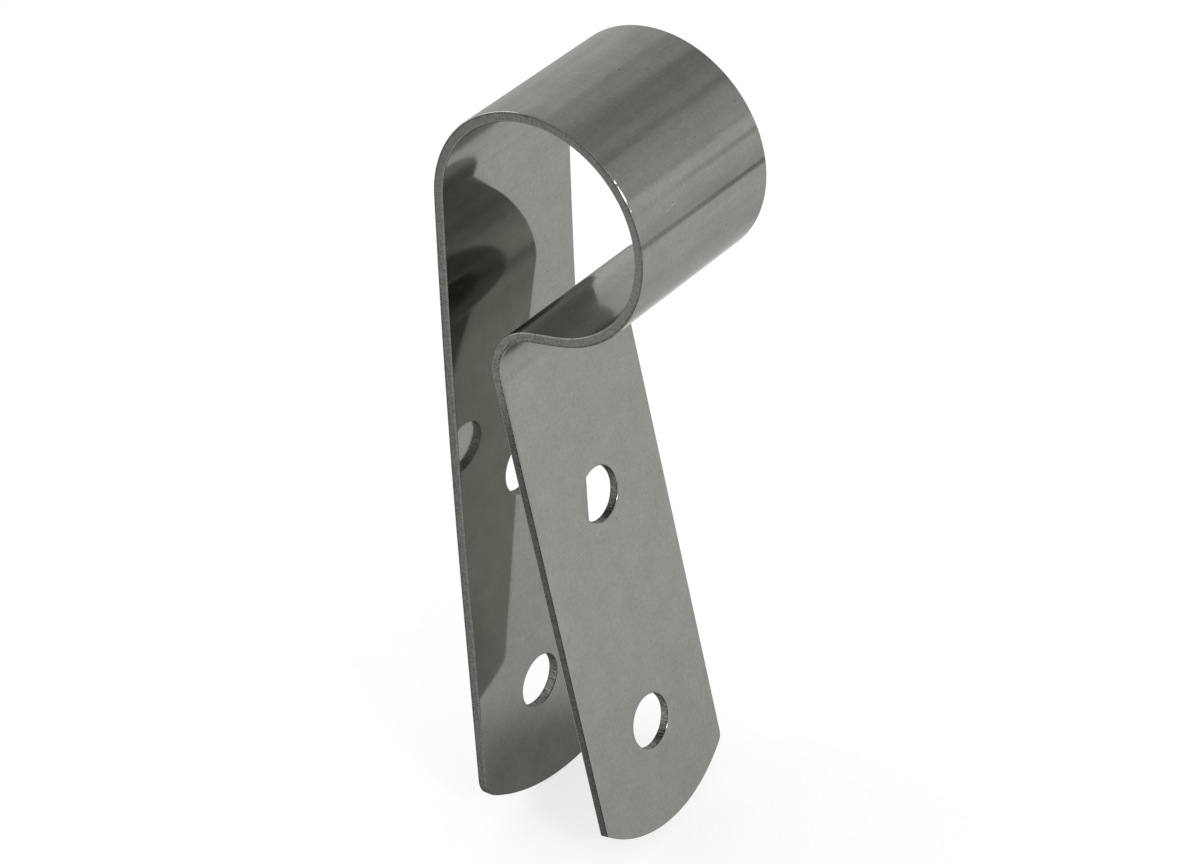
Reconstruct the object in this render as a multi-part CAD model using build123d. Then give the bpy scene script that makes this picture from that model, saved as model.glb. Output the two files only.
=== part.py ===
"""Tube clamp bent from one strip of stainless sheet.

The strip comes up as the back leg, wraps round the tube as an open loop, turns back through a tight reverse bend
and goes down again as the front leg. Both legs have two screw holes. Screws drawn through them close the legs,
and the loop then grips the tube. The part is drawn as it is before it is fitted, with its legs sprung apart.

Millimetres and degrees. The origin is on the tube's axis at the middle of the strip's width, +Y runs along the tube,
+Z is up and the back leg stands upright on the -X side. The strip's near edge is the one at -Y.
"""

import os
from math import cos, radians, sin

from build123d import *

# Strip and tube
tube_diameter = 25.0
sheet = 1.2
strip_width = 23.0
edge_break = 0.12

# Loop: snug on the tube for most of its turn, then a little easier, then straight up to the reverse bend
snug_angle = 212.5
eased_angle = 46.2
eased_by = 0.55
loop_tail = 3.9

# Legs: the back one bows slightly below the loop, and the front one leans away from it
bow_angle = 2.4
bow_length = 53.0
bend_inside = 5.2
splay_angle = 10.1

# Screw holes, the upper ones dropped below the tube's axis on the back leg and below the bend on the front leg
hole_diameter = 6.6
hole_pitch = 30.0
back_hole_drop = 40.0
front_hole_drop = 20.2

# Leg ends: the arc's lowest point lies below the lower hole's centre by the reach, and to one side by the offset
front_end_radius = 17.0
front_end_reach = 13.3
front_end_offset = 0.0
front_near_corner = 0.3
front_far_corner = 1.5
back_end_radius = 27.5
back_end_reach = 14.9
back_end_offset = 5.0
back_near_corner = 3.0
back_far_corner = 1.5

# Worked out from the sizes above
half_sheet = sheet / 2
half_width = strip_width / 2
snug_radius = tube_diameter / 2 + half_sheet
eased_radius = snug_radius + eased_by
bow_radius = bow_length / radians(bow_angle)
bend_radius = bend_inside + half_sheet
bend_angle = snug_angle + eased_angle + bow_angle + splay_angle - 180.0
back_leg_x = -snug_radius * cos(radians(bow_angle)) - bow_radius * (1 - cos(radians(bow_angle)))
bow_foot_z = snug_radius * sin(radians(bow_angle)) - bow_radius * sin(radians(bow_angle))
back_leg_z = -(back_hole_drop + hole_pitch + back_end_reach)
front_leg_length = front_hole_drop + hole_pitch + front_end_reach
spare = 5.0 * sheet
touch = 0.01


def arc_from(line, radius, turn):
    """An arc that goes on from a line's end without a kink. A positive turn is counter-clockwise."""
    return JernArc(line @ 1, line % 1, radius, turn)


def straight_from(line, length):
    """A straight that goes on from a line's end without a kink."""
    return Line(line @ 1, line @ 1 + (line % 1) * length)


def strip_line(outward):
    """The strip in profile, this far outside its middle line, from the back leg's foot to the front leg's end."""
    foot = Vector(back_leg_x - outward, back_leg_z - spare)
    back_leg = Line(foot, Vector(foot.X, bow_foot_z))
    bow = arc_from(back_leg, bow_radius + outward, -bow_angle)
    snug = arc_from(bow, snug_radius + outward, -snug_angle)
    eased = arc_from(snug, eased_radius + outward, -eased_angle)
    tail = straight_from(eased, loop_tail)
    bend = arc_from(tail, bend_radius - outward, bend_angle)
    front_leg = straight_from(bend, front_leg_length + spare)
    return [back_leg, bow, snug, eased, tail, bend, front_leg]


def bent_strip():
    """The whole strip, bent, with legs that are square and too long."""
    outside, inside = strip_line(half_sheet), strip_line(-half_sheet)
    caps = [Line(outside[0] @ 0, inside[0] @ 0), Line(outside[-1] @ 1, inside[-1] @ 1)]
    section = make_face(Wire([*outside, *inside, *caps]))
    return extrude(Plane.XZ * section, half_width, both=True)


def back_leg_plane():
    """On the back leg at its lower hole: x across the strip, y up the leg, z through the sheet."""
    return Plane(origin=(back_leg_x, 0, -(back_hole_drop + hole_pitch)), x_dir=(0, 1, 0), z_dir=(1, 0, 0))


def front_leg_plane():
    """The same on the front leg, which leans out by the splay angle."""
    bend_end = strip_line(0)[-1] @ 0
    lean = radians(splay_angle)
    down = Vector(sin(lean), 0, -cos(lean))
    lower_hole = Vector(bend_end.X, 0, bend_end.Y) + down * (front_hole_drop + hole_pitch)
    return Plane(origin=lower_hole, x_dir=(0, 1, 0), z_dir=(cos(lean), 0, sin(lean)))


def end_waste(radius, reach, offset, near_corner, far_corner):
    """What the blanking tool cuts off below a leg's rounded end, in the leg's own plane."""
    arc_centre = radius - reach
    depth = radius + 2 * spare
    below = Pos(0, arc_centre - depth / 2)
    kept = (below * Rectangle(strip_width, depth)) & (Pos(offset, arc_centre) * Circle(radius))
    for side, corner in ((-half_width, near_corner), (half_width, far_corner)):
        on_side = kept.vertices().filter_by(lambda v: abs(v.X - side) < touch)
        kept = fillet(on_side.sort_by(Axis.Y)[0], corner)
    return below * Rectangle(strip_width + 2 * spare, depth) - kept


def cut_ends(strip):
    """The two leg ends, cut square through the sheet."""
    back = end_waste(back_end_radius, back_end_reach, back_end_offset, back_near_corner, back_far_corner)
    front = end_waste(front_end_radius, front_end_reach, front_end_offset, front_near_corner, front_far_corner)
    for plane, waste in ((back_leg_plane(), back), (front_leg_plane(), front)):
        strip -= extrude(plane * waste, sheet, both=True)
    return strip


def punch_holes(strip):
    """Two screw holes through each leg, square to its face."""
    for plane in (back_leg_plane(), front_leg_plane()):
        for place in (0, hole_pitch):
            strip -= plane * Pos(0, place) * Cylinder(hole_diameter / 2, 2 * sheet)
    return strip


def break_edges(strip):
    """The rims of the strip's two faces, taken off a little. The seams between bends and straights are left alone."""
    def is_rim(edge):
        across = abs(edge.bounding_box().size.Y - strip_width) < touch
        through = edge.geom_type == GeomType.LINE and abs(edge.length - sheet) < touch
        return not (across or through)
    return chamfer(strip.edges().filter_by(is_rim), edge_break)


clamp_strip = break_edges(punch_holes(cut_ends(bent_strip())))

os.makedirs("parts", exist_ok=True)
export_step(clamp_strip, "parts/clamp_strip.step")
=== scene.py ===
# %% [markdown]
# A tube clamp bent from one strip of polished stainless sheet. The strip comes up as the back leg, goes
# round the tube as an open loop, turns back through a tight reverse bend and goes down again as the front
# leg.
#
# The frame is loaded first. It gives the clamp's box, and everything here is in metres and in the same
# axes: the origin is on the tube's axis, +Y runs along the tube and +Z is up.

# %% Load the frame
from math import cos, hypot, pi, radians, sin, sqrt

import bpy
from mathutils import Matrix, Vector


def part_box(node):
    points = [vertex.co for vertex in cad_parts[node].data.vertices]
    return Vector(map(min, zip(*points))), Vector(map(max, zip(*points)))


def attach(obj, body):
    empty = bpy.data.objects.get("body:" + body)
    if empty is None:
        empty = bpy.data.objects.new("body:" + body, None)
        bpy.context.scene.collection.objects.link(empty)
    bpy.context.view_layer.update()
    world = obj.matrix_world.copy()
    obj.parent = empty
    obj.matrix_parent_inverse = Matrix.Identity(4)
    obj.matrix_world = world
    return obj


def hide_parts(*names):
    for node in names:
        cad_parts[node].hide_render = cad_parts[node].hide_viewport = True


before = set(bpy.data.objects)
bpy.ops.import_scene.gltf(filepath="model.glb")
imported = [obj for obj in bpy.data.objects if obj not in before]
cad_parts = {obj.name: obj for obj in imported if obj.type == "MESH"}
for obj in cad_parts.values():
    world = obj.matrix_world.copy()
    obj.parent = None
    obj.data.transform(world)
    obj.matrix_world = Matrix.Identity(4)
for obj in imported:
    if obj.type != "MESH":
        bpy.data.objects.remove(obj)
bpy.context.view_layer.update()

mm = 0.001
clamp_low, clamp_high = (Vector(corner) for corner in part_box("clamp_strip"))
print("clamp's box in mm", [[round(v / mm, 2) for v in corner] for corner in (clamp_low, clamp_high)])

# %% [markdown]
# The camera stands where it stood for the photograph. A long lens far away keeps the legs nearly
# parallel, and the frame is rolled a little. The place is written as an orbit: a point to look at, two
# angles and a distance.

# %% Place the camera
view_azimuth, view_elevation, view_roll = radians(37.676), radians(31.933), radians(-3.806)
look_at = Vector((7.07, -12.13, -22.33)) * mm
view_distance = 436.4 * mm
lens_length, sensor_width = 122.54, 36.0

toward_camera = Vector((sin(view_azimuth) * cos(view_elevation),
                        -cos(view_azimuth) * cos(view_elevation),
                        sin(view_elevation)))
level_right = Vector((0, 0, 1)).cross(toward_camera).normalized()
level_up = toward_camera.cross(level_right)
right = level_right * cos(view_roll) + level_up * sin(view_roll)
up = toward_camera.cross(right)

camera = bpy.data.objects.new("camera", bpy.data.cameras.new("camera"))
camera.data.lens, camera.data.sensor_width = lens_length, sensor_width
camera.data.clip_start = 0.01
turned = Matrix((right, up, toward_camera)).transposed().to_4x4()
camera.matrix_world = Matrix.Translation(look_at + toward_camera * view_distance) @ turned
bpy.context.scene.collection.objects.link(camera)
bpy.context.scene.camera = camera
bpy.context.scene.view_settings.view_transform = "Standard"
print("camera at mm", [round(v / mm, 1) for v in camera.location])

# %% [markdown]
# Node trees hold both the bending and the finishes. Sums of sockets are easier to read as sums, so a
# small class wraps a socket and overloads the operators. Each operator adds one Math node.

# %% Write node trees as expressions
class Wire:
    """A node's output, used in sums as if it were a number."""

    def __init__(self, tree, socket):
        self.tree, self.socket = tree, socket

    def maths(self, operation, *terms):
        return self.node("ShaderNodeMath", {"operation": operation}, dict(enumerate(terms)))

    def node(self, kind, settings, inputs, output=0):
        return add_node(self.tree, kind, settings, inputs, output)

    def __add__(self, other):
        return self.maths("ADD", self, other)

    def __radd__(self, other):
        return self.maths("ADD", other, self)

    def __sub__(self, other):
        return self.maths("SUBTRACT", self, other)

    def __rsub__(self, other):
        return self.maths("SUBTRACT", other, self)

    def __mul__(self, other):
        return self.maths("MULTIPLY", self, other)

    def __rmul__(self, other):
        return self.maths("MULTIPLY", other, self)

    def __truediv__(self, other):
        return self.maths("DIVIDE", self, other)

    def __neg__(self):
        return self.maths("MULTIPLY", self, -1.0)

    def at_least(self, other):
        return self.maths("MAXIMUM", self, other)

    def at_most(self, other):
        return self.maths("MINIMUM", self, other)

    def size(self):
        return self.maths("ABSOLUTE", self)

    def rise(self, low, high):
        """0 below the low value, 1 above the high one, and a smooth slope between them."""
        ends = {"Value": self, "From Min": low, "From Max": high}
        return self.node("ShaderNodeMapRange", {"interpolation_type": "SMOOTHSTEP"}, ends)


# %% [markdown]
# Every other kind of node comes from one function. It sets the node's own settings first, because some of
# them change which sockets the node has, and then gives each socket its value or its link.

# %% Make a node
def set_stops(ramp, stops):
    """Give a colour ramp these stops of (place, grey)."""
    while len(ramp.elements) < len(stops):
        ramp.elements.new(0.5)
    for element, (place, grey) in zip(ramp.elements, stops):
        element.position = place
        element.color = (grey, grey, grey, 1)


def add_node(tree, kind, settings, inputs, output=0):
    """One node: its settings, then its sockets' values or links. Gives back the wanted output."""
    node = tree.nodes.new(kind)
    for name, value in settings.items():
        if name == "stops":
            set_stops(node.color_ramp, value)
        else:
            setattr(node, name, value)
    for name, value in inputs.items():
        if isinstance(value, Wire):
            tree.links.new(value.socket, node.inputs[name])
        else:
            node.inputs[name].default_value = value
    return Wire(tree, node.outputs[output]) if node.outputs else node


# %% [markdown]
# The strip's sizes are the maker's own: the sheet, the holes and their pitch, and the bends in the order
# in which they follow each other along the strip. A bend is known by the length of flat strip before it,
# its middle radius and its angle. Lengths are measured along the middle of the sheet, from the tip of the
# back leg.

# %% Name the strip's sizes
sheet, strip_width = 1.2 * mm, 23.0 * mm
half_sheet, half_width = sheet / 2, strip_width / 2
hole_radius, hole_pitch = 3.3 * mm, 30.0 * mm
back_reach, front_reach = 14.9 * mm, 13.3 * mm
back_hole_drop, front_hole_drop = 40.0 * mm, 20.2 * mm

tube_radius, reverse_inside = 12.5 * mm, 5.2 * mm
bow_length, eased_by, tail = 53.0 * mm, 0.55 * mm, 3.9 * mm
bow_turn, snug_turn, eased_turn, splay = radians(2.4), radians(212.5), radians(46.2), radians(10.1)
bow_radius = bow_length / bow_turn
snug_radius = tube_radius + half_sheet
eased_radius = snug_radius + eased_by
reverse_radius = reverse_inside + half_sheet
reverse_turn = bow_turn + snug_turn + eased_turn + splay - pi

back_leg_x = -snug_radius * cos(bow_turn) - bow_radius * (1 - cos(bow_turn))
back_tip_z = -(back_hole_drop + hole_pitch + back_reach)
bow_start = (snug_radius - bow_radius) * sin(bow_turn) - back_tip_z
snug_start = bow_start + bow_radius * bow_turn
eased_start = snug_start + snug_radius * snug_turn
tail_start = eased_start + eased_radius * eased_turn
reverse_start = tail_start + tail
front_start = reverse_start + reverse_radius * reverse_turn
strip_length = front_start + front_hole_drop + hole_pitch + front_reach
print("flat strip", round(strip_length / mm, 2), "mm long")

# %% [markdown]
# The real clamp is punched flat and bent afterwards, and the mesh is made the same way. Drawing the flat
# blank first keeps its holes round and its outline true. A boolean cut on the bent shape would be shorter
# to write, but it leaves long thin faces that spoil a mirror finish.
#
# The blank is a grid of columns across the strip and rows along it. Round each hole a square patch of the
# grid is left open for rings that run from square to round. The columns lie closest together across the
# patches and at the strip's edges, where the leg ends have their corners.

# %% Lay out the columns
die_roll = [(radians(12), 0.03 * mm), (radians(30), 0.13 * mm), (radians(62), 0.05 * mm)]
burr_break = [(radians(78), 0.02 * mm), (radians(45), 0.13 * mm), (radians(14), 0.03 * mm)]
edge_roll = sum(length * cos(angle) for angle, length in die_roll)
patch_half, patch_cells = 5.0 * mm, 16
patch_step = 2 * patch_half / patch_cells
column_step = 1.2 * mm
near_corner_cells, far_corner_cells = 12, 8
grid_half = half_width - edge_roll
widest_near_corner, widest_far_corner = 3.0 * mm, 1.5 * mm


def even(start, stop, step):
    """Places from start up to stop, no further apart than the step, without the last one."""
    count = max(1, round(abs(stop - start) / step))
    return [start + (stop - start) * i / count for i in range(count)]


def closing(start, stop, count):
    """Places that lie ever closer to the start, as round a corner, without the last one."""
    return [start + (stop - start) * (1 - cos(pi / 2 * i / count)) for i in range(count)]


near_turn = -grid_half + widest_near_corner - edge_roll
far_turn = grid_half - widest_far_corner + edge_roll
columns = closing(-grid_half, near_turn, near_corner_cells)
columns += even(near_turn, -patch_half, column_step)
first_patch_column = len(columns)
columns += even(-patch_half, patch_half, patch_step)
columns += even(patch_half, far_turn, column_step)
columns += reversed(closing(grid_half, far_turn, far_corner_cells) + [far_turn])
print(len(columns), "columns")

# %% [markdown]
# The strip's length falls into stretches, one for each bend and each straight. A stretch has its own step,
# so that rows lie close together only where the strip will be bent. The rows of a hole's patch are as many
# as its columns.

# %% Lay out the rows
hole_places = [back_reach, back_reach + hole_pitch, front_start + front_hole_drop,
               front_start + front_hole_drop + hole_pitch]
flat_step, bow_step = 2.5 * mm, 2.0 * mm
snug_step, reverse_step = snug_radius * radians(1.25), reverse_radius * radians(1.9)
stretches = [(bow_start, flat_step), (snug_start, bow_step), (tail_start, snug_step),
             (reverse_start, flat_step / 2), (front_start, reverse_step), (strip_length, flat_step)]

patch_rows = []
rows = []
place = hole_places[0] - patch_half
for hole in hole_places:
    for stretch_end, step in stretches:
        stop = min(stretch_end, hole - patch_half)
        if place < stop:
            rows += even(place, stop, step)
            place = stop
    patch_rows.append(len(rows))
    rows += even(place, hole + patch_half, patch_step)
    place = hole + patch_half
rows.append(place)
print(len(rows), "rows")

# %% [markdown]
# Each leg ends in a large arc with a small corner at each side. The grid's last rows fan out to meet that
# outline, so each column needs to know how far below the lower hole the outline lies there, and which way
# it faces.

# %% Describe the leg ends
class LegEnd:
    """A leg's rounded end: its large arc, and the corner at each side of it."""

    def __init__(self, radius, reach, offset, near_corner, far_corner):
        self.radius, self.reach, self.offset = radius, reach, offset
        self.corners = {-1: near_corner, 1: far_corner}

    def at(self, across):
        """How far past the lower hole the end lies here, and its outward direction (across, past)."""
        side = -1 if across < self.offset else 1
        corner = self.corners[side]
        corner_across = side * (half_width - corner)
        to_corner = self.radius - corner
        corner_past = sqrt(to_corner ** 2 - (corner_across - self.offset) ** 2) + self.reach - self.radius
        meeting = self.offset + (corner_across - self.offset) * (self.radius - edge_roll) / to_corner
        if side * across > side * meeting:
            centre, radius = (corner_across, corner_past), corner - edge_roll
        else:
            centre, radius = (self.offset, self.reach - self.radius), self.radius - edge_roll
        lean = max(-1.0, min(1.0, (across - centre[0]) / radius))
        return centre[1] + radius * sqrt(1 - lean ** 2), (lean, sqrt(1 - lean ** 2))


back_end = LegEnd(radius=27.5 * mm, reach=back_reach, offset=5.0 * mm,
                  near_corner=widest_near_corner, far_corner=widest_far_corner)
front_end = LegEnd(radius=17.0 * mm, reach=front_reach, offset=0.0,
                   near_corner=0.3 * mm, far_corner=widest_far_corner)

# %% [markdown]
# The rim between a face and the cut wall has its own small profile. A punched edge is rolled over where
# the tool went in, on the outer face, then runs straight, and ends in a tight broken corner on the inner
# face. These rims are a tenth of a millimetre wide, but they catch the light as thin bright lines, so
# they are real faces here. The steep ones count as wall, for the finish.

# %% Draw the rim's profile
wall_levels = (0.06, 0.35, 0.65, 0.94)
rolled_wall, broken_wall = radians(45), radians(60)


def rim_profile():
    """From the outer face to the inner one: outward offset, height, and whether this is sheared wall."""
    profile = []
    out, height = 0.0, half_sheet
    for angle, length in die_roll:
        out, height = out + length * cos(angle), height - length * sin(angle)
        profile.append((out, height, float(angle > rolled_wall)))
    burr_height = -half_sheet + sum(length * sin(angle) for angle, length in burr_break)
    profile += [(out, height + (burr_height - height) * share, 1.0) for share in wall_levels]
    height = burr_height
    profile.append((out, height, 0.0))
    for angle, length in burr_break:
        out, height = out - length * cos(angle), height - length * sin(angle)
        profile.append((out, height, min(1.0, angle / broken_wall)))
    return profile


print("rim goes through", len(rim_profile()), "points")

# %% [markdown]
# Both faces of the blank share one layout of points, so every place is made as a pair, one point on each
# face. The mesh also keeps a flat drawing of itself: lengths along and across the strip on the faces, and
# lengths along and through the cut on the walls. The finish reads its marks from that drawing.

# %% Keep the blank's points and faces
class Blank:
    """The flat blank's mesh. Both faces share one layout, and rims join them."""

    def __init__(self):
        self.points, self.faces, self.uvs, self.wall, self.outer = [], [], [], [], []

    def point(self, along, across, height, wall=0.0):
        self.points.append((along, across, height))
        self.wall.append(wall)
        self.outer.append(float(height > 0))
        return len(self.points) - 1

    def pair(self, along, across):
        """One place of the layout: a point on the outer face and one on the inner face."""
        return self.point(along, across, half_sheet), self.point(along, across, -half_sheet)

    def quad(self, pairs):
        """One cell of the layout on both faces, wound to face outwards."""
        for face in ([p[0] for p in pairs], [p[1] for p in reversed(pairs)]):
            self.faces.append(face)
            self.uvs += [self.points[i][:2] for i in face]

    def rim(self, loop):
        """The wall along a closed loop of (pair, outward direction), with the sheet on the loop's left."""
        profile = rim_profile()
        layers = []
        for (outer, inner), (out_along, out_across) in loop:
            along, across, _ = self.points[outer]
            middle = [self.point(along + out_along * d, across + out_across * d, height, wall)
                      for d, height, wall in profile]
            layers.append([outer, *middle, inner])
        distance = 0.0
        for here, there in zip(layers, layers[1:] + layers[:1]):
            start, stop = (self.points[layer[len(layer) // 2]] for layer in (here, there))
            travelled = distance + hypot(stop[0] - start[0], stop[1] - start[1])
            round_cut = (distance, distance, travelled, travelled)
            for level in range(len(here) - 1):
                face = [here[level], here[level + 1], there[level + 1], there[level]]
                self.faces.append(face)
                self.uvs += [(u, self.points[i][2]) for u, i in zip(round_cut, face)]
            distance = travelled


# %% [markdown]
# The grid comes first. The rows beyond the outermost holes fan out from straight to the shape of the
# leg's end, and the squares round the holes stay open.

# %% Lay the grid
end_rows = 9
blank = Blank()
grid = []
for i in range(end_rows):
    share = 1 - i / end_rows
    grid.append([blank.pair(rows[0] - (back_end.at(y)[0] - patch_half) * share, y) for y in columns])
for along in rows:
    grid.append([blank.pair(along, y) for y in columns])
for i in range(end_rows):
    share = (i + 1) / end_rows
    grid.append([blank.pair(rows[-1] + (front_end.at(y)[0] - patch_half) * share, y) for y in columns])

open_cells = {(end_rows + first + i, first_patch_column + j)
              for first in patch_rows for i in range(patch_cells) for j in range(patch_cells)}
for i in range(len(grid) - 1):
    for j in range(len(columns) - 1):
        if (i, j) not in open_cells:
            blank.quad([grid[i][j], grid[i + 1][j], grid[i + 1][j + 1], grid[i][j + 1]])
print("grid of", len(grid), "rows with", len(open_cells), "cells left open")

# %% [markdown]
# Each open square is filled with rings that turn from the square's border to the hole's circle. The last
# ring gets the hole's wall, which runs the other way round because its outward side is the hole's middle.

# %% Ring the holes
ring_steps = 5


def patch_border(first_row):
    """The square round a hole, counter-clockwise from its corner at low row and low column."""
    low, high = first_patch_column, first_patch_column + patch_cells
    bottom, top = end_rows + first_row, end_rows + first_row + patch_cells
    border = [grid[i][low] for i in range(bottom, top)]
    border += [grid[top][j] for j in range(low, high)]
    border += [grid[i][high] for i in range(top, bottom, -1)]
    return border + [grid[bottom][j] for j in range(high, low, -1)]


for hole, first_row in zip(hole_places, patch_rows):
    ring = patch_border(first_row)
    border = [blank.points[outer][:2] for outer, inner in ring]
    angles = [pi * 1.25 + 2 * pi * k / len(ring) for k in range(len(ring))]
    for step in range(1, ring_steps + 1):
        share = step / ring_steps
        radius = hole_radius + edge_roll
        inner_ring = [blank.pair(x + (hole + radius * cos(a) - x) * share, y + (radius * sin(a) - y) * share)
                      for (x, y), a in zip(border, angles)]
        for k in range(len(ring)):
            after = (k + 1) % len(ring)
            blank.quad([ring[k], ring[after], inner_ring[after], inner_ring[k]])
        ring = inner_ring
    blank.rim(list(reversed([(pair, (-cos(a), -sin(a))) for pair, a in zip(ring, angles)])))
print("holes ringed by", len(hole_places) * ring_steps, "rings")

# %% [markdown]
# The wall round the whole blank closes the mesh. It takes its outward direction from the leg ends' own
# arcs, so the wall stays square to the outline in the corners too.

# %% Close the outline and make the mesh
outline = [(grid[i][0], (0.0, -1.0)) for i in range(1, len(grid) - 1)]
for j, y in enumerate(columns):
    lean, past = front_end.at(y)[1]
    outline.append((grid[-1][j], (past, lean)))
outline += [(grid[i][-1], (0.0, 1.0)) for i in range(len(grid) - 2, 0, -1)]
for j in range(len(columns) - 1, -1, -1):
    lean, past = back_end.at(columns[j])[1]
    outline.append((grid[0][j], (-past, lean)))
blank.rim(outline)

mesh = bpy.data.meshes.new("blank")
mesh.from_pydata(blank.points, [], blank.faces)
layout = mesh.uv_layers.new(name="layout")
layout.data.foreach_set("uv", [value for uv in blank.uvs for value in uv])
for name, values in (("wall", blank.wall), ("outer", blank.outer)):
    mesh.attributes.new(name, "FLOAT", "POINT").data.foreach_set("value", values)
mesh.shade_smooth()
print("blank has", len(mesh.polygons), "faces")

# %% [markdown]
# The press bends the blank one bend at a time, and the node tree does the same. One bend is a node group:
# what lies past the bend's start is drawn back by the length that the bend uses up, and then turned about
# the bend's centre. Each point keeps the length at which it lay in the flat blank, so the group can tell
# how far round it is.

# %% Make one bend as a node group
def new_tree(name, sizes):
    """A geometry tree with a named input for each size."""
    tree = bpy.data.node_groups.new(name, "GeometryNodeTree")
    tree.interface.new_socket("Geometry", in_out="OUTPUT", socket_type="NodeSocketGeometry")
    tree.interface.new_socket("Geometry", in_out="INPUT", socket_type="NodeSocketGeometry")
    for size in sizes:
        tree.interface.new_socket(size, in_out="INPUT", socket_type="NodeSocketFloat")
    entry = tree.nodes.new("NodeGroupInput")
    return tree, {socket.name: Wire(tree, socket) for socket in entry.outputs if socket.name}


def set_position(tree, geometry, position):
    return add_node(tree, "GeometryNodeSetPosition", {}, {"Geometry": geometry, "Position": position})


def join_xyz(tree, x, y, z):
    return add_node(tree, "ShaderNodeCombineXYZ", {}, {"X": x, "Y": y, "Z": z})


def split_position(tree):
    """The point's own place, as three numbers."""
    place = add_node(tree, "GeometryNodeInputPosition", {}, {})
    return [add_node(tree, "ShaderNodeSeparateXYZ", {}, {"Vector": place}, output) for output in "XYZ"]


bend, size = new_tree("press bend", ["Start", "Radius", "Turn", "Side"])
length = add_node(bend, "GeometryNodeInputNamedAttribute", {"data_type": "FLOAT"}, {"Name": "length"})
so_far = ((length - size["Start"]) / size["Radius"]).at_least(0.0).at_most(size["Turn"])
x, y, z = split_position(bend)
drawn_back = join_xyz(bend, x - size["Radius"] * so_far, y, z)
centre = join_xyz(bend, size["Start"], 0.0, -(size["Side"] * size["Radius"]))
bent = add_node(bend, "ShaderNodeVectorRotate", {"rotation_type": "Y_AXIS"},
                {"Vector": drawn_back, "Center": centre, "Angle": size["Side"] * so_far})
result = set_position(bend, size["Geometry"], bent)
add_node(bend, "NodeGroupOutput", {}, {"Geometry": result})

# %% [markdown]
# The bends run from the far end of the strip back to its start, so that each one still finds its own
# stretch flat. The last step stands the back leg upright in its place beside the tube's axis. Every size
# of the press work is a named input of the tree.

# %% Bend the blank
bends = {
    "Bow": (bow_start, bow_radius, bow_turn, 1.0),
    "Snug": (snug_start, snug_radius, snug_turn, 1.0),
    "Eased": (eased_start, eased_radius, eased_turn, 1.0),
    "Reverse": (reverse_start, reverse_radius, reverse_turn, -1.0),
}
bend_sizes = ["Start", "Radius", "Turn", "Side"]
settings = {f"{name} {size_name}": value for name, values in bends.items()
            for size_name, value in zip(bend_sizes, values)}
settings.update({"Leg X": back_leg_x, "Tip Z": back_tip_z})

press, size = new_tree("press the clamp", settings)
along = split_position(press)[0]
strip = add_node(press, "GeometryNodeStoreNamedAttribute", {"data_type": "FLOAT", "domain": "POINT"},
                 {"Geometry": size["Geometry"], "Name": "length", "Value": along})
for name in reversed(bends):
    inputs = {size_name: size[f"{name} {size_name}"] for size_name in bend_sizes}
    strip = add_node(press, "GeometryNodeGroup", {"node_tree": bend}, {"Geometry": strip, **inputs})
x, y, z = split_position(press)
strip = set_position(press, strip, join_xyz(press, size["Leg X"] - z, y, size["Tip Z"] + x))
strip = add_node(press, "GeometryNodeRealizeInstances", {}, {"Geometry": strip})

steel = bpy.data.materials.new("stainless")
strip = add_node(press, "GeometryNodeSetMaterial", {}, {"Geometry": strip, "Material": steel})
add_node(press, "NodeGroupOutput", {}, {"Geometry": strip})

flat = bpy.data.objects.new("flat_blank", mesh)
bpy.context.scene.collection.objects.link(flat)
modifier = flat.modifiers.new("press", "NODES")
modifier.node_group = press
for socket in press.interface.items_tree:
    if socket.in_out == "INPUT" and socket.name in settings:
        modifier[socket.identifier] = settings[socket.name]

# %% [markdown]
# Smooth shading averages the normals of neighbouring faces, and at a rim that would tilt the flat face
# beside it and show as a false curve in the mirror finish. Weighted normals let the large flat faces win
# there. The evaluated result then becomes a plain mesh, and the blank with its modifiers goes away.

# %% Turn the result into a plain mesh
flat.modifiers.new("normals", "WEIGHTED_NORMAL").keep_sharp = True
evaluated = flat.evaluated_get(bpy.context.evaluated_depsgraph_get())
bent_mesh = bpy.data.meshes.new_from_object(evaluated)
bent_mesh.name = "bent_strip"
bent_strip = bpy.data.objects.new("bent_strip", bent_mesh)
bpy.context.scene.collection.objects.link(bent_strip)
bpy.data.objects.remove(flat)

axes = list(zip(*(vertex.co for vertex in bent_mesh.vertices)))
lowest, highest = Vector(min(axis) for axis in axes), Vector(max(axis) for axis in axes)
print("bent strip's box in mm", [[round(v / mm, 2) for v in corner] for corner in (lowest, highest)])
print("furthest it stands out of the clamp's box, in mm",
      round(max(max(clamp_low - lowest), max(highest - clamp_high)) / mm, 3))

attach(bent_strip, "root")
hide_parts("clamp_strip")

# %% [markdown]
# Polished stainless is a grey mirror with a faint haze. The wall that the punch left is duller, darker
# and streaked. One material makes both: the mesh carries a value called wall, 0 on the faces and 1 on the
# cut wall, and the finish is mixed by it. Marks that follow the strip read its flat layout, so they run
# on round the bends.

# %% Read the strip's own places in the material
steel.use_nodes = True
tree = steel.node_tree
tree.nodes.clear()


def attribute(name):
    return add_node(tree, "ShaderNodeAttribute", {"attribute_name": name}, {}, "Fac")


on_wall, on_outer, along = attribute("wall"), attribute("outer"), attribute("length")
layout_place = add_node(tree, "ShaderNodeUVMap", {"uv_map": "layout"}, {})
solid_place = add_node(tree, "ShaderNodeTexCoord", {}, {}, "Object")
across = add_node(tree, "ShaderNodeSeparateXYZ", {}, {"Vector": solid_place}, "Y")
through = add_node(tree, "ShaderNodeSeparateXYZ", {}, {"Vector": layout_place}, "Y")


def stretch(start, stop, soft):
    """1 on this stretch of the strip's length, with soft ends outside it."""
    return along.rise(start - soft, start) * (1 - along.rise(stop, stop + soft))


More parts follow.
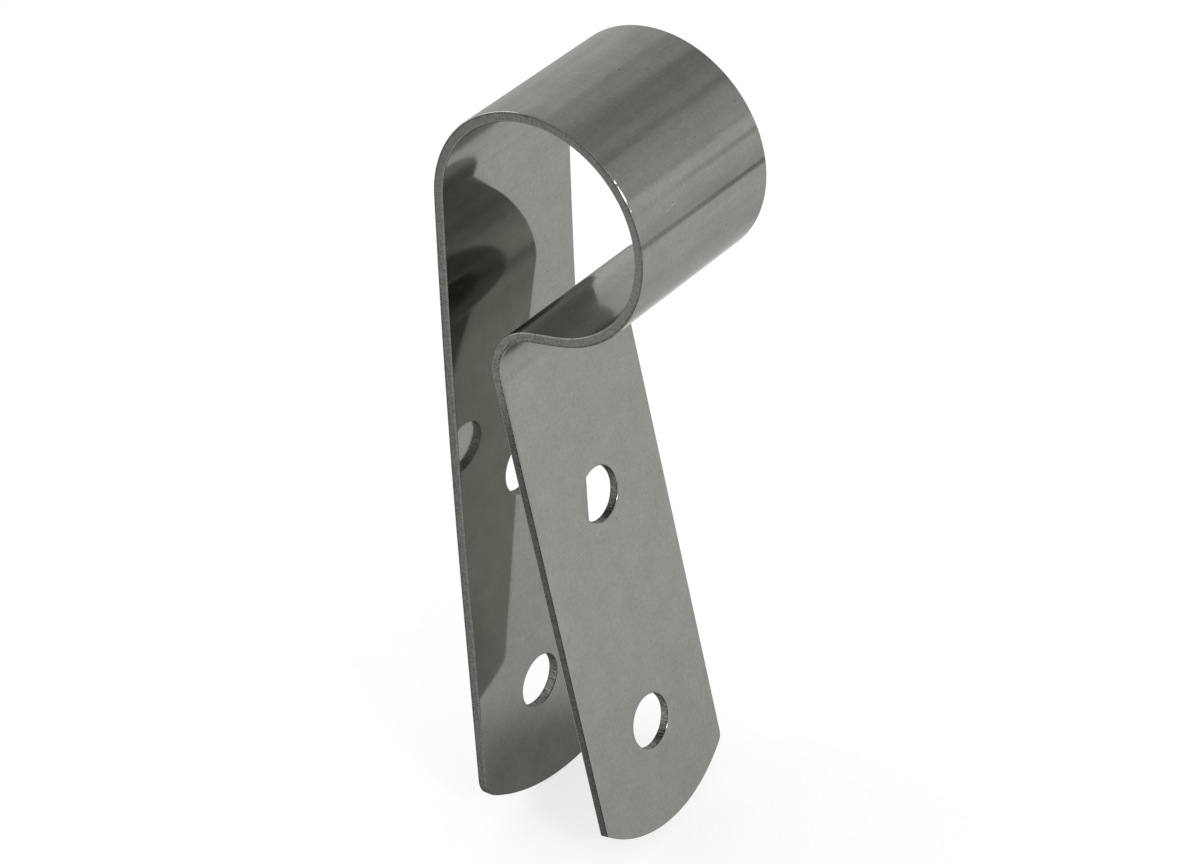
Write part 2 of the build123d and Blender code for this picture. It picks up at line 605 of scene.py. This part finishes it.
on_back = 1 - along.rise(bow_start + 5 * mm, snug_start)
on_loop = stretch(snug_start, tail_start, 4 * mm)
on_reverse = stretch(reverse_start, front_start, 1 * mm)
on_front = along.rise(front_start, front_start + 8 * mm)
near_tip = along.rise(front_start + 15 * mm, front_start + 45 * mm)

# %% [markdown]
# Rolled and polished sheet is never one even grey. It has fine hairlines both along and across the roll,
# faint clouds, a few scratches and the odd pit. Each is a noise, stretched along its own direction and
# added to a tone of 1. The inner faces also get a painted sheen: they are painted lighter on the front
# leg, more so towards its tip and on the reverse bend, and a little darker on the back leg, standing in for
# brighter and darker reflections on what is one steel.

# %% Grain the polished faces
def noise(place, scale, detail=3.0, turn=0.0):
    """Noise about 0.5, with its own number of lumps for each metre along each axis."""
    mapped = add_node(tree, "ShaderNodeMapping", {},
                      {"Vector": place, "Scale": scale, "Rotation": (0, 0, turn)})
    return add_node(tree, "ShaderNodeTexNoise", {"noise_dimensions": "3D"},
                    {"Vector": mapped, "Scale": 1.0, "Detail": detail})


fine, coarse = 4800, 560
speck_scale, cloud_scale = 2600, 300
grain = noise(layout_place, (fine, coarse, 1)) + noise(layout_place, (coarse, fine, 1)) - 1
specks = noise(solid_place, [speck_scale] * 3) - 0.5
clouds = noise(solid_place, [cloud_scale] * 3, 5.0) - 0.5
scratches = (noise(layout_place, (3600, 90, 1), 2.0, radians(38)).rise(0.66, 0.72)
             + noise(layout_place, (90, 3600, 1), 2.0, radians(12)).rise(0.67, 0.73))
pits = add_node(tree, "ShaderNodeTexVoronoi", {"distance": "EUCLIDEAN"},
                {"Vector": solid_place, "Scale": 260.0})
pits = 1 - pits.rise(0.03, 0.06)

front_gain, tip_gain, reverse_gain, back_loss = 0.3, 0.28, 0.12, 0.06
grain_depth, speck_depth, cloud_depth = 0.18, 0.24, 0.26
scratch_depth, pit_depth = 0.08, 0.25
# Painted sheen: the inner faces are painted lighter on the front leg, its tip and the reverse bend, and
# darker on the back leg, for brighter and darker reflections.
inner_painted_sheen = on_front * front_gain + near_tip * tip_gain + on_reverse * reverse_gain - on_back * back_loss
polish_tone = grain * grain_depth + specks * speck_depth + clouds * cloud_depth
# Real marks and wear, plus the painted sheen on the inner faces.
wear_and_sheen_tone = 1 + polish_tone - scratches * scratch_depth - pits * pit_depth + inner_painted_sheen * (1 - on_outer)

# %% [markdown]
# The loop was rolled round a mandrel. That left faint streaks along the tube, soft blotches, and some
# light flecks low on its front. A place on the loop is named by the angle above the level that its
# outside faces.

# %% Streak the loop
streaks = noise(layout_place, (900, 45, 1), 5.0) - 0.5
blotches = noise(layout_place, (170, 110, 1), 2.0) - 0.5
flecks = noise(layout_place, (2600, 260, 1), 2.0).rise(0.66, 0.76)
toward_far_edge = across.rise(-half_width, half_width)


def loop_place(angle):
    """How far along the strip the loop's outside faces this way above the level."""
    return snug_start + snug_radius * (pi - bow_turn - angle)


fleck_top, fleck_bottom = loop_place(radians(29)), loop_place(radians(14))
flecked = stretch(fleck_top, fleck_bottom, 0.8 * mm) * (1 - toward_far_edge)
streak_depth, blotch_depth = 0.3, 0.12
fleck_gain = 0.1 + flecked * 0.4
rolled_tone = streaks * streak_depth + blotches * blotch_depth
print("flecks lie from", round(fleck_top / mm, 1), "to", round(fleck_bottom / mm, 1), "mm along the strip")

# %% [markdown]
# Dark lines run across the loop where the roller stopped and started. Each has its own angle round the
# loop and slope across it, and most are deeper toward the strip's far edge.

# %% Draw the roller's lines
def roll_line(angle, slope, half_line, soft):
    """A line across the loop, at this angle above the level where it crosses the strip's middle."""
    from_line = (along - loop_place(angle) - across * slope).size()
    return 1 - from_line.rise(half_line, half_line + soft)


# Each stop: angle, slope, half the line's width, its soft edge, depth at the near edge and at the far one
roller_stops = [(radians(6.7), 0.008, 0.12 * mm, 0.32 * mm, 0.28, 0.44),
                (radians(21.9), 0.004, 0.05 * mm, 0.50 * mm, 0.05, 0.30),
                (radians(49.3), 0.000, 0.15 * mm, 0.40 * mm, 0.11, 0.11),
                (radians(64.0), 0.000, 0.40 * mm, 0.70 * mm, 0.05, 0.05)]
roll_marks = 0.0
for angle, slope, half_line, soft, near_depth, far_depth in roller_stops:
    depth = near_depth + toward_far_edge * (far_depth - near_depth)
    roll_marks = roll_marks + roll_line(angle, slope, half_line, soft) * depth
rolled_tone = rolled_tone + (flecks * fleck_gain - roll_marks) * on_outer
face_tone = wear_and_sheen_tone + rolled_tone * on_loop
print("loop has", len(roller_stops), "lines")

# %% [markdown]
# A punch cuts the first part of the sheet's thickness and tears the rest. The wall is therefore scored
# through the sheet, darkest where the punch went in and lighter towards the inner face. On top of that the
# outline's wall has painted shade, darker on the back leg and darkest on the front leg, for the darker
# surroundings it mirrors there. The front leg's hole walls are painted lighter to offset the shade inside
# the holes.

# %% Mark the sheared wall
on_edge = across.size().rise(half_width - 0.4 * mm, half_width - 0.2 * mm)
in_hole = 1 - on_edge
# Painted shade on the outline's wall (back leg darker, front leg darkest) and painted light on the front
# leg's hole walls.
edge_tone_and_painted_shade = 0.62 - on_back * 0.12 - on_front * 0.32
hole_tone_and_painted_light = 0.54 + on_front * 0.20

grit_scale, burnish_depth = 5000, 0.45
tearing = noise(layout_place, (5200, 500, 1)) - 0.5
tear_depth = 1.3 + in_hole * 2.4
grit = noise(solid_place, [grit_scale] * 3, 2.0) - 0.5
grit_depth = 1.7 - on_loop * 0.9
burnished = through.rise(0.2 * mm, 0.5 * mm)
scoring = tearing * tear_depth + grit * grit_depth - burnished * burnish_depth
wall_tone = (edge_tone_and_painted_shade * on_edge + hole_tone_and_painted_light * in_hole) * (1 + scoring)

# %% [markdown]
# Two faults of the real piece move its highlights. The back leg's inner face leans by a degree or two,
# which its outline hardly shows but its mirror image does. And three small nicks flatten the loop's near
# rim. Each is long and narrow, and all three were struck from one side, so they face the same way and
# catch the same lamp. One vector, added to the normal, does both.

# %% Lean the back leg's mirror and nick the rim
lean_y, lean_z = -0.015, 0.029
nick_x, nick_y, nick_z = 2.1, -1.65, 1.4
nick_stretch = 2.5
nick_places = [(radians(39.2), 0.13 * mm), (radians(32.0), 0.28 * mm), (radians(24.8), 0.10 * mm)]

nicks = 0.0
for angle, nick_size in nick_places:
    along_nick = (along - loop_place(angle)) / nick_stretch
    across_nick = across + grid_half
    squared = along_nick * along_nick + across_nick * across_nick
    from_nick = squared.maths("SQRT", squared)
    nicks = nicks + (1 - from_nick.rise(nick_size * 0.5, nick_size)) * on_outer * (1 - on_wall)

leaning = on_back * (1 - on_outer) * (1 - on_wall)
lean = add_node(tree, "ShaderNodeCombineXYZ", {},
                {"X": nicks * nick_x, "Y": leaning * lean_y + nicks * nick_y,
                 "Z": leaning * lean_z + nicks * nick_z})
true_normal = add_node(tree, "ShaderNodeNewGeometry", {}, {}, "Normal")
leant = add_node(tree, "ShaderNodeVectorMath", {"operation": "ADD"}, {0: true_normal, 1: lean})
leant = add_node(tree, "ShaderNodeVectorMath", {"operation": "NORMALIZE"}, {0: leant})

# %% [markdown]
# Metal needs only its own colour and a roughness, and the roughness tells how the piece was worked. Bends
# are a little rougher than the flats, as stretched sheet is. The mandrel dulled the loop's inside, and the
# press tool the reverse bend's hollow side.

# %% Roughen the bends
from_loop_start = along - snug_start
mandrel_start, mandrel_full = snug_radius * radians(4), snug_radius * radians(24)
dulled = on_loop * (1 - on_outer) * from_loop_start.rise(mandrel_start, mandrel_full)
hollow = on_reverse * on_outer
polish_rough, wall_rough = 0.035, 0.42
bend_rough = on_loop * 0.04 + dulled * 0.05 + on_reverse * 0.10 + hollow * 0.12
mark_rough = (clouds + 0.5) * 0.02 + scratches * 0.03 + nicks * 0.15
face_rough = polish_rough + mark_rough + bend_rough
mirror_rough = face_rough * (1 - on_wall) + on_wall * wall_rough

# %% [markdown]
# Two metals share one colour and one relief. One is the mirror, and the other a duller steel that is
# mixed in as the haze that polishing leaves. The tint at the edge keeps the grazing parts grey, because
# real polished stainless stays well below white there.

# %% Mix the finish
steel_red, steel_green, steel_blue = 0.335, 0.335, 0.309
edge_tint = (0.62, 0.607, 0.595, 1.0)
haze_rough, least_haze, cloud_haze, tool_haze = 0.38, 0.06, 0.1, 0.3
haze_share = least_haze + (clouds + 0.5) * cloud_haze + dulled * tool_haze + hollow * tool_haze

tone = face_tone * (1 - on_wall) + wall_tone * on_wall
colour = add_node(tree, "ShaderNodeCombineColor", {}, {"Red": tone * steel_red, "Green": tone * steel_green,
                                                       "Blue": tone * steel_blue})
grit_height, grain_height = 0.02 * mm, 0.0004 * mm
height = grit * on_wall * grit_height + grain * (1 - on_wall) * grain_height
relief = add_node(tree, "ShaderNodeBump", {},
                  {"Height": height, "Distance": 1.0, "Strength": 1.0, "Normal": leant})


def metal(roughness):
    """The steel with this roughness."""
    return add_node(tree, "ShaderNodeBsdfPrincipled", {},
                    {"Base Color": colour, "Metallic": 1.0, "Roughness": roughness,
                     "Specular Tint": edge_tint, "Normal": relief})


mirror, haze = metal(mirror_rough), metal(haze_rough)
surface = add_node(tree, "ShaderNodeMixShader", {}, {"Fac": haze_share, 1: mirror, 2: haze})
add_node(tree, "ShaderNodeOutputMaterial", {}, {"Surface": surface})
print("steel has", len(tree.nodes), "nodes")

# %% [markdown]
# The world is white to the camera and in reflections, as a product photograph's background is. Light Path
# tells those rays apart from the ones that carry light, which get a plain level.

# %% Set up the white room
def seen_directly(tree):
    """1 for what the camera, a reflection or a glass sees, and 0 for light on its way to a surface."""
    rays = [add_node(tree, "ShaderNodeLightPath", {}, {}, ray)
            for ray in ("Is Camera Ray", "Is Glossy Ray", "Is Transmission Ray")]
    return rays[0].at_least(rays[1]).at_least(rays[2])


room_level = 0.75
world = bpy.data.worlds.new("white room")
world.use_nodes = True
world.node_tree.nodes.clear()
level = room_level + seen_directly(world.node_tree) * (1 - room_level)
sky = add_node(world.node_tree, "ShaderNodeBackground", {}, {"Color": (1, 1, 1, 1), "Strength": level})
add_node(world.node_tree, "ShaderNodeOutputWorld", {}, {"Surface": sky})
bpy.context.scene.world = world

# %% [markdown]
# The floor is white paper. The camera sees it lit, with the clamp's soft shadow on it. The clamp's own
# mirrors see painted shade on it instead: darker between the legs and round the feet, where the clamp
# shades it, and darker again towards the far end of the table. That gives the polished faces their slow
# change of tone from top to bottom.

# %% Lay the white paper
paper_half = 3.0
floor_mesh = bpy.data.meshes.new("floor")
paper_corners = [(-paper_half, -paper_half), (paper_half, -paper_half),
                 (paper_half, paper_half), (-paper_half, paper_half)]
floor_mesh.from_pydata([(x, y, clamp_low.z) for x, y in paper_corners], [], [(0, 1, 2, 3)])
floor = bpy.data.objects.new("floor", floor_mesh)
bpy.context.scene.collection.objects.link(floor)

paper = bpy.data.materials.new("white paper")
paper.use_nodes = True
paper.node_tree.nodes.clear()
floor_mesh.materials.append(paper)
paper_grey, paper_glow = 0.40, 0.68
lit = add_node(paper.node_tree, "ShaderNodeBsdfDiffuse", {},
               {"Color": (paper_grey, paper_grey, paper_grey, 1)})
glow = add_node(paper.node_tree, "ShaderNodeEmission", {},
                {"Color": (1, 1, 1, 1), "Strength": seen_directly(paper.node_tree) * paper_glow})
open_paper = add_node(paper.node_tree, "ShaderNodeAddShader", {}, {0: lit, 1: glow})

# %% [markdown]
# The paper's tone in the mirrors is painted: a sum of soft patches of painted shade and light. Each is
# placed by how far along the table it lies, or by its distance from the back leg's foot or from a spot
# beside the clamp. Is Glossy Ray picks the rays that a mirror sends out, so the camera's own view of the
# paper and the light that falls on the clamp stay as they are.

# %% Paint shade into what the mirrors see of it
place = add_node(paper.node_tree, "ShaderNodeTexCoord", {}, {}, "Object")
table_x = add_node(paper.node_tree, "ShaderNodeSeparateXYZ", {}, {"Vector": place}, "X")


def distance_from(x, y):
    """How far this place of the paper is from a point on it."""
    return add_node(paper.node_tree, "ShaderNodeVectorMath", {"operation": "DISTANCE"},
                    {0: place, 1: (x, y, clamp_low.z)}, "Value")


from_foot = distance_from(back_leg_x, 2 * mm)
from_beside = distance_from(-18 * mm, 80 * mm)
painted_shade_between_legs = 1 - from_foot.rise(8 * mm, 24 * mm)
painted_shade_round_feet = 1 - from_foot.rise(20 * mm, 90 * mm)
far_end = table_x.rise(0.145, 0.165) - table_x.rise(0.2, 0.6) * 0.5
behind = table_x.rise(-0.34, -0.14) * (1 - table_x.rise(-0.12, -0.05))
far_behind = 1 - table_x.rise(-0.90, -0.35)
beside = 1 - from_beside.rise(20 * mm, 55 * mm)

# Painted shade and light on the paper as the mirrors see it, round the clamp's feet and across the table.
painted_mirror_tone = 0.9
for patch, change in ((painted_shade_between_legs, -0.45), (painted_shade_round_feet, -0.12), (far_end, -0.2),
                      (behind, -0.33), (far_behind, 0.1), (beside, 0.13)):
    painted_mirror_tone = painted_mirror_tone + patch * change
mirrored = add_node(paper.node_tree, "ShaderNodeEmission", {}, {"Color": painted_mirror_tone, "Strength": 1.0})
in_mirror = add_node(paper.node_tree, "ShaderNodeLightPath", {}, {}, "Is Glossy Ray")
both = add_node(paper.node_tree, "ShaderNodeMixShader", {}, {"Fac": in_mirror, 1: open_paper, 2: mirrored})
add_node(paper.node_tree, "ShaderNodeOutputMaterial", {}, {"Surface": both})

# %% [markdown]
# Polished metal shows only what stands round it, so the studio is built for its reflections. An arched
# canopy of grey cloths hangs over the clamp. The bent loop draws each cloth out into a band along the
# tube, and the seams between cloths become the bands' sharp edges.

# %% Hang the grey canopy
canopy_radius, canopy_half_length = 0.45, 0.9
canopy_start, canopy_stop = radians(-10), radians(172)
canopy_steps = 48
steps = [canopy_start + (canopy_stop - canopy_start) * i / canopy_steps for i in range(canopy_steps + 1)]
canopy_mesh = bpy.data.meshes.new("canopy")
canopy_mesh.from_pydata([(canopy_radius * cos(a), side * canopy_half_length, canopy_radius * sin(a))
                         for a in steps for side in (-1, 1)], [],
                        [(2 * i, 2 * i + 1, 2 * i + 3, 2 * i + 2) for i in range(canopy_steps)])
canopy = bpy.data.objects.new("canopy", canopy_mesh)
bpy.context.scene.collection.objects.link(canopy)
canopy.visible_camera = False
canopy.visible_diffuse = False
canopy.visible_shadow = False
canopy.visible_transmission = False

# %% [markdown]
# The cloths differ only in their grey, so one colour ramp round the arch dyes them all. Two close stops
# make a seam and two distant ones a slow change. Its angles are those of the arch, from just below the
# level on the right, over the top, to just above the level on the left.

# %% Dye the canopy's cloths
canopy_tones = [(-10, 0.79), (4, 0.86), (13, 0.84), (18, 0.61), (34, 0.585), (49, 0.535), (54, 0.42),
                (66, 0.44), (75, 0.372), (90, 0.37), (98, 0.448), (106, 0.515), (117, 0.515), (121, 0.525),
                (126, 0.685), (133, 0.735), (141, 0.75), (150, 0.87), (158, 0.94), (167, 0.98), (172, 1.0)]
canopy_turn = canopy_stop - canopy_start
stops = [((radians(angle) - canopy_start) / canopy_turn, tone) for angle, tone in canopy_tones]
cloth = bpy.data.materials.new("canopy cloth")
cloth.use_nodes = True
cloth.node_tree.nodes.clear()
canopy_mesh.materials.append(cloth)
place = add_node(cloth.node_tree, "ShaderNodeTexCoord", {}, {}, "Object")
x, z = (add_node(cloth.node_tree, "ShaderNodeSeparateXYZ", {}, {"Vector": place}, axis) for axis in "XZ")
round_arch = (z.maths("ARCTAN2", z, x) - canopy_start) / canopy_turn
dye = add_node(cloth.node_tree, "ShaderNodeValToRGB", {"stops": stops}, {"Fac": round_arch}, "Color")
glow = add_node(cloth.node_tree, "ShaderNodeEmission", {}, {"Color": dye, "Strength": 1.0})
add_node(cloth.node_tree, "ShaderNodeOutputMaterial", {}, {"Surface": glow})

# %% [markdown]
# Two soft lamps stand inside the canopy. The polished faces turn away from them, so they show as thin
# glints on the rims only. The large lamp stands on the left. It lights the rim along the loop's bottom and
# the reverse bend's crest, and draws the shadow on the floor. The narrow one stands on the right, and
# lights the nicks at the loop's front and the edges of the holes.

# %% Place the lamps
def soft_lamp(name, toward, distance, width, height, radiance):
    """A lamp aimed at the clamp, as bright as the radiance says wherever it is seen."""
    lamp = bpy.data.objects.new(name, bpy.data.lights.new(name, "AREA"))
    lamp.data.shape = "RECTANGLE"
    lamp.data.size = width
    lamp.data.size_y = height
    lamp.data.energy = radiance * pi * width * height
    toward = Vector(toward).normalized()
    lamp.location = look_at + toward * distance
    lamp.rotation_euler = toward.to_track_quat("Z", "Y").to_euler()
    lamp.visible_camera = False
    bpy.context.scene.collection.objects.link(lamp)
    return lamp


large_lamp = soft_lamp("large_lamp", toward=(-0.86, -0.27, 0.45), distance=0.38,
                       width=0.14, height=0.26, radiance=1.9)
narrow_lamp = soft_lamp("narrow_lamp", toward=(0.80, -0.385, 0.455), distance=0.36,
                        width=0.05, height=0.085, radiance=18.0)
print("lamps", large_lamp.name, "and", narrow_lamp.name)
